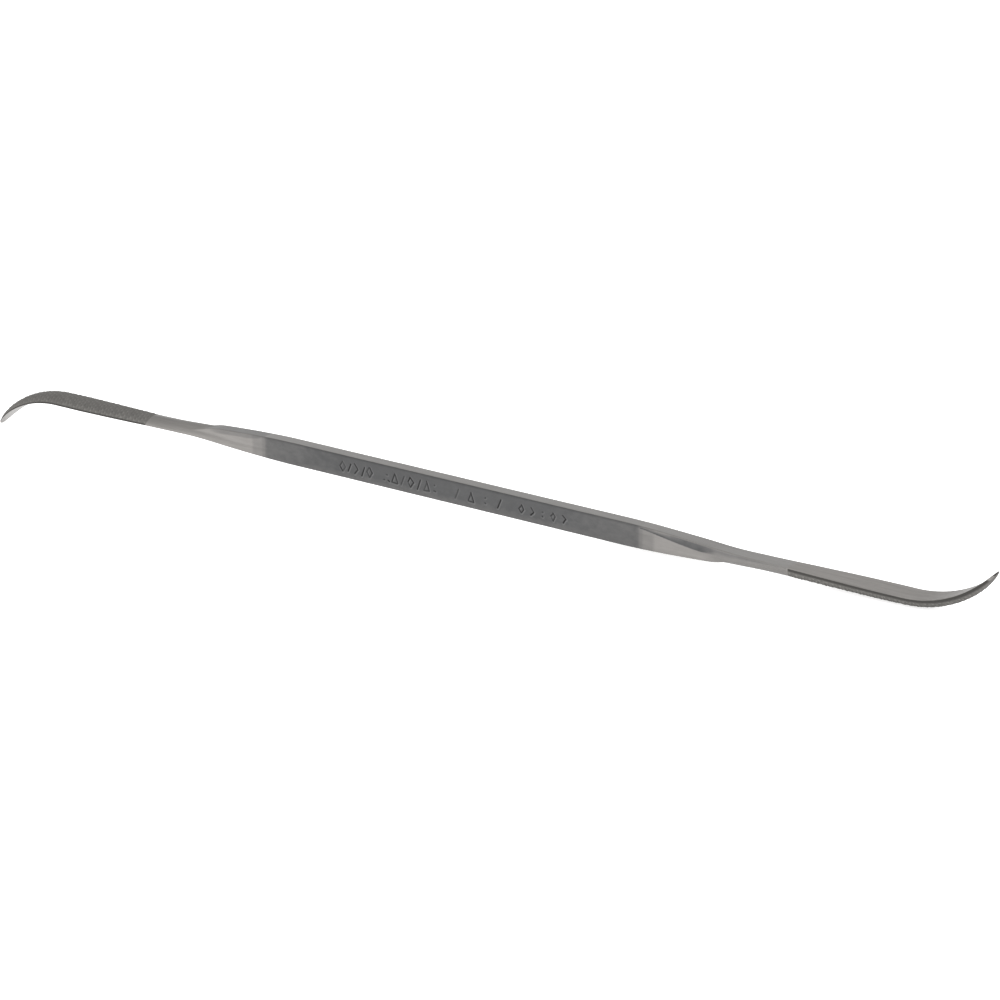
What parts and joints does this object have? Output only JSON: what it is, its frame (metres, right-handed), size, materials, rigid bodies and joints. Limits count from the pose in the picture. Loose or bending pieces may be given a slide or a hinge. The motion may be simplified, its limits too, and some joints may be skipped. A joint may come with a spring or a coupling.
{
  "type": "wood rasp",
  "caption": "Slim double-ended half-round rasp: a flat rectangular grip, tapered necks, and two curved tapering toothed heads that face opposite ways.",
  "frame": {"origin": "middle of the grip, which is the middle of the whole tool", "axes": "+X along the tool towards the head whose flat side faces up, +Y through the grip's thickness, +Z across the grip's height, towards the way the +X head curls"},
  "size_m": [0.3052, 0.0074, 0.0234],
  "materials": {
    "scaled_steel": "dark grey scale left by hardening, dull, with rolled edges",
    "ground_steel": "bright ground steel, satin, with fine grinding lines along the tool",
    "cut_steel": "satin steel, convex side covered with raised pointed teeth, flat side plain"
  },
  "bodies": {
    "root": {"grip_bar": "scaled_steel", "right_neck": "ground_steel", "left_neck": "ground_steel", "right_rasp_head": "cut_steel", "left_rasp_head": "cut_steel"}
  },
  "joints": []
}
